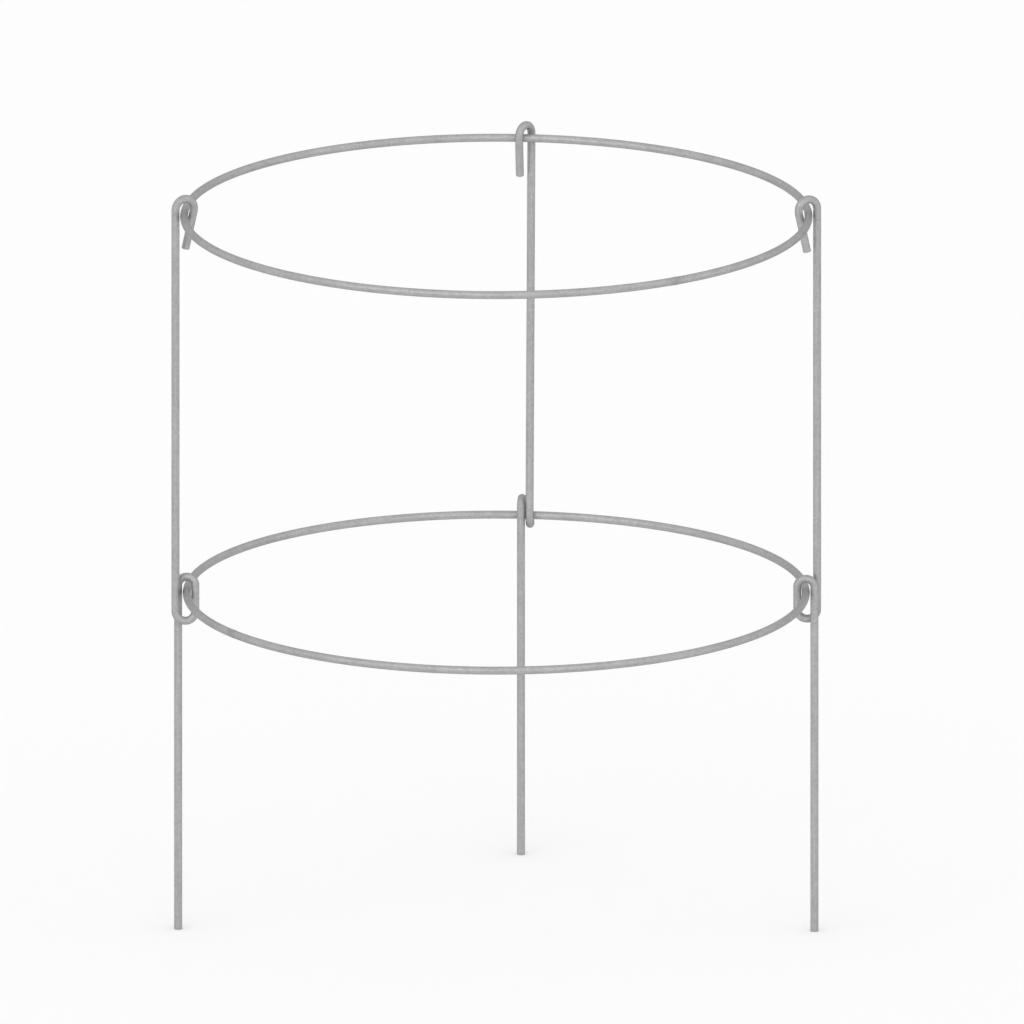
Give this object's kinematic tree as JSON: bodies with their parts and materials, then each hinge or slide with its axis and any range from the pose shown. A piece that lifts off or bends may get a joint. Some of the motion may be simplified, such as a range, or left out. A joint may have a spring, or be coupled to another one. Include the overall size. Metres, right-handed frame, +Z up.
{
  "type": "grow through plant support",
  "caption": "Free-standing wire plant support: round hoops held apart by bent wire legs, each leg coiled about the lower hoop and hooked over the upper hoop.",
  "frame": {"origin": "on the ground, under the middle of the part's box seen from above; the hoops' common axis stands 2.29 mm towards -Y from it", "axes": "+Z up; +Y from the open front, which has no leg, towards the leg at the back; +X from the left leg towards the right leg"},
  "size_m": [0.3634, 0.3577, 0.4247],
  "materials": {
    "galvanised_wire": "hot-dip galvanised steel wire, dull light grey zinc"
  },
  "bodies": {
    "lower_hoop": {"lower_hoop": "galvanised_wire"},
    "upper_hoop": {"upper_hoop": "galvanised_wire"},
    "leg_right": {"leg_right": "galvanised_wire"},
    "leg_left": {"leg_left": "galvanised_wire"},
    "leg_back": {"leg_back": "galvanised_wire"}
  },
  "joints": [
    {"name": "leg_right_slide", "type": "hinge", "parent": "lower_hoop", "child": "leg_right", "pos_m": [0, -0.00229, 0.195], "axis": [0, 0, 1], "range_deg": [-88, 40]},
    {"name": "leg_left_slide", "type": "hinge", "parent": "lower_hoop", "child": "leg_left", "pos_m": [0, -0.00229, 0.195], "axis": [0, 0, 1], "range_deg": [-45, 88]},
    {"name": "leg_back_slide", "type": "hinge", "parent": "lower_hoop", "child": "leg_back", "pos_m": [0, -0.00229, 0.195], "axis": [0, 0, 1], "range_deg": [-40, 45]},
    {"name": "upper_hoop_turn", "type": "hinge", "parent": "lower_hoop", "child": "upper_hoop", "pos_m": [0, -0.00229, 0.4125], "axis": [0, 0, 1], "continuous": true}
  ]
}
